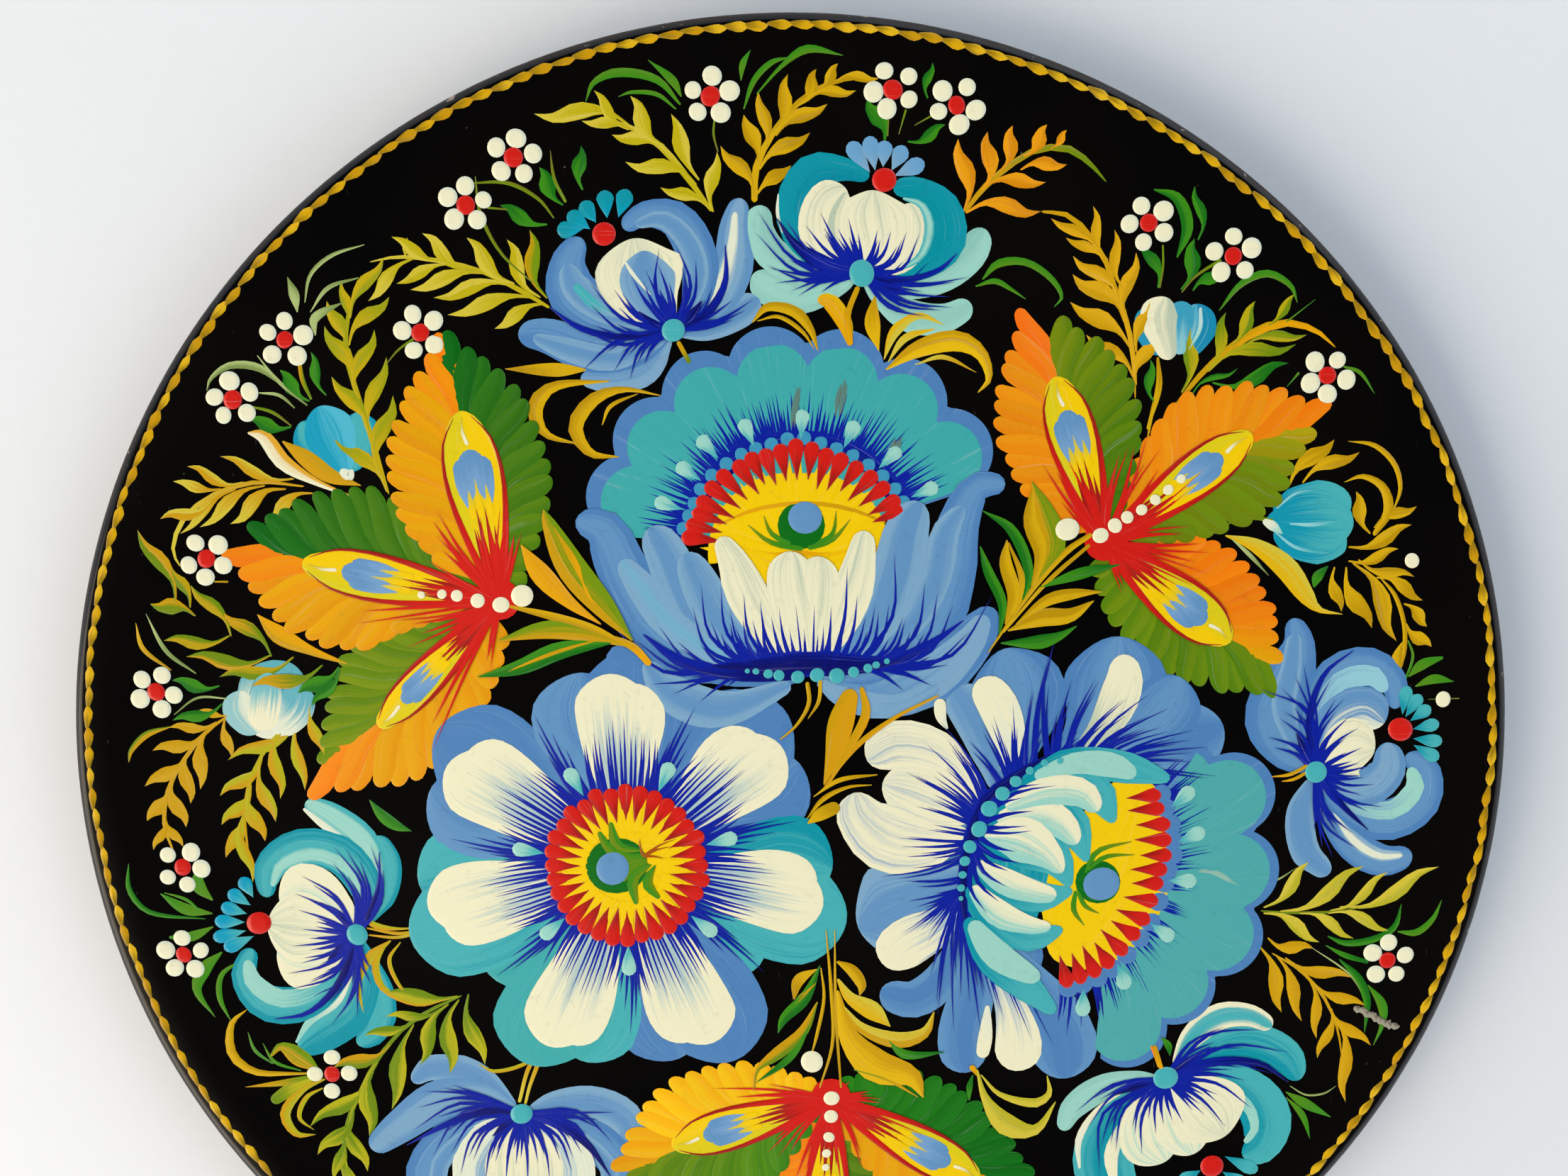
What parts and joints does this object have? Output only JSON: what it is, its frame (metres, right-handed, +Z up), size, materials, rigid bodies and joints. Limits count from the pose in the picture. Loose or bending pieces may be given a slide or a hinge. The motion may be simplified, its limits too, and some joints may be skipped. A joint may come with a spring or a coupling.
{
  "type": "painted round tray",
  "caption": "Round black-lacquered wooden tray with a hand-painted flower face, a beaded border, a turned foot and a ring hanger in the foot's recess.",
  "frame": {"origin": "centre of the plane that the foot stands on", "axes": "+Z up through the painted face, +Y towards the top of the picture, +X to its right"},
  "size_m": [0.35, 0.35, 0.017],
  "materials": {
    "black_lacquer": "gloss black lacquer over wood",
    "brass_strap": "satin brass plate",
    "hanger_steel": "zinc-plated steel"
  },
  "bodies": {
    "tray": {"tray_board": "black_lacquer", "hanger_strap": "brass_strap", "hanger_screw_upper": "hanger_steel", "hanger_screw_lower": "hanger_steel"},
    "ring": {"hanger_ring": "hanger_steel"}
  },
  "joints": [
    {"name": "ring_swing", "type": "hinge", "parent": "tray", "child": "ring", "pos_m": [0, 0.062, 0.00265], "axis": [-1, 0, 0], "range_deg": [0, 178]}
  ]
}
